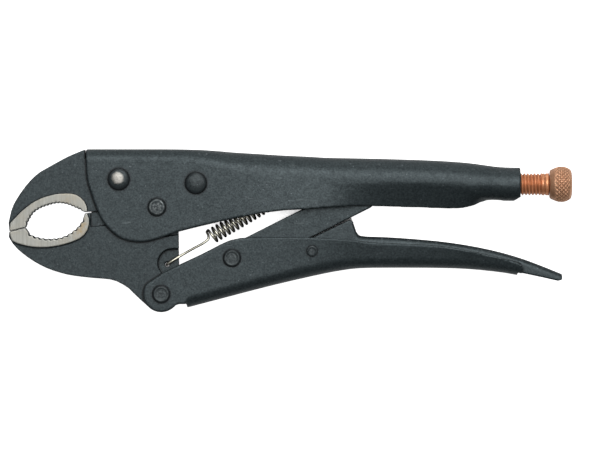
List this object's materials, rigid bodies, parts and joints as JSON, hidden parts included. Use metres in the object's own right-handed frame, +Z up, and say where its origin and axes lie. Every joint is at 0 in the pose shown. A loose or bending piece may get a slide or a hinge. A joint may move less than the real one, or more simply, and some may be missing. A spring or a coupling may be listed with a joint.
{
  "type": "locking pliers",
  "caption": "Curved-jaw locking pliers with toothed forged jaws, channel handles, a toggle link, a return spring, a release lever and a knurled adjusting screw.",
  "frame": {"origin": "centre of the footprint of the tool lying on its side, on the surface it lies on", "axes": "+X from the jaws to the adjusting knob, +Y from the lower handle to the upper handle, +Z up through the tool's thickness"},
  "size_m": [0.2488, 0.072, 0.0211],
  "materials": {
    "blackened_steel": "sandblasted and blackened, satin, rubbed at the edges",
    "forged_steel": "blackened forging, ground bright round the mouth",
    "rivet_steel": "blackened, rubbed bright on top",
    "copper_plate": "copper-plated steel, oiled",
    "spring_wire": "bright drawn wire"
  },
  "bodies": {
    "upper_frame": {"upper_handle": "blackened_steel", "upper_jaw": "forged_steel", "front_jaw_rivet": "rivet_steel", "rear_jaw_rivet": "rivet_steel", "jaw_pivot_rivet": "rivet_steel", "return_spring": "spring_wire"},
    "lower_jaw_body": {"lower_jaw": "forged_steel"},
    "lower_handle_body": {"lower_handle": "blackened_steel", "handle_pivot_rivet": "rivet_steel", "toggle_pivot_rivet": "rivet_steel", "release_lever_pin": "rivet_steel"},
    "toggle_link_body": {"toggle_link": "blackened_steel"},
    "release_lever_body": {"release_lever": "blackened_steel"},
    "screw_body": {"adjusting_screw": "copper_plate"},
    "knob_body": {"screw_knob": "copper_plate"}
  },
  "joints": [
    {"name": "jaw_swing", "type": "hinge", "parent": "upper_frame", "child": "lower_jaw_body", "pos_m": [-0.0589, 0.01039, 0.01055], "axis": [0, 0, 1], "range_deg": [0, 12.5], "deforming": ["return_spring"]},
    {"name": "handle_swing", "type": "hinge", "parent": "lower_jaw_body", "child": "lower_handle_body", "pos_m": [-0.057, -0.028, 0.01055], "axis": [0, 0, -1], "range_deg": [0, 46]},
    {"name": "toggle_swing", "type": "hinge", "parent": "lower_handle_body", "child": "toggle_link_body", "pos_m": [-0.0258, -0.0121, 0.01055], "axis": [0, 0, 1], "range_deg": [0, 54]},
    {"name": "release_press", "type": "hinge", "parent": "lower_handle_body", "child": "release_lever_body", "pos_m": [0.0095, -0.00901, 0.01055], "axis": [0, 0, 1], "range_deg": [-1, 1]},
    {"name": "screw_travel", "type": "slide", "parent": "upper_frame", "child": "screw_body", "axis": [1, 0, 0], "range_m": [0, 0.025]},
    {"name": "screw_turn", "type": "hinge", "parent": "screw_body", "child": "knob_body", "pos_m": [0.119, 0.02049, 0.01055], "axis": [1, 0, 0], "range_deg": [0, 6000]}
  ],
  "couplings": [
    {"joint": "jaw_swing", "follows": "handle_swing", "ratio": 0.27},
    {"joint": "toggle_swing", "follows": "handle_swing", "ratio": 1.17},
    {"joint": "screw_travel", "follows": "screw_turn", "m_per_rad": 0.00023873}
  ]
}
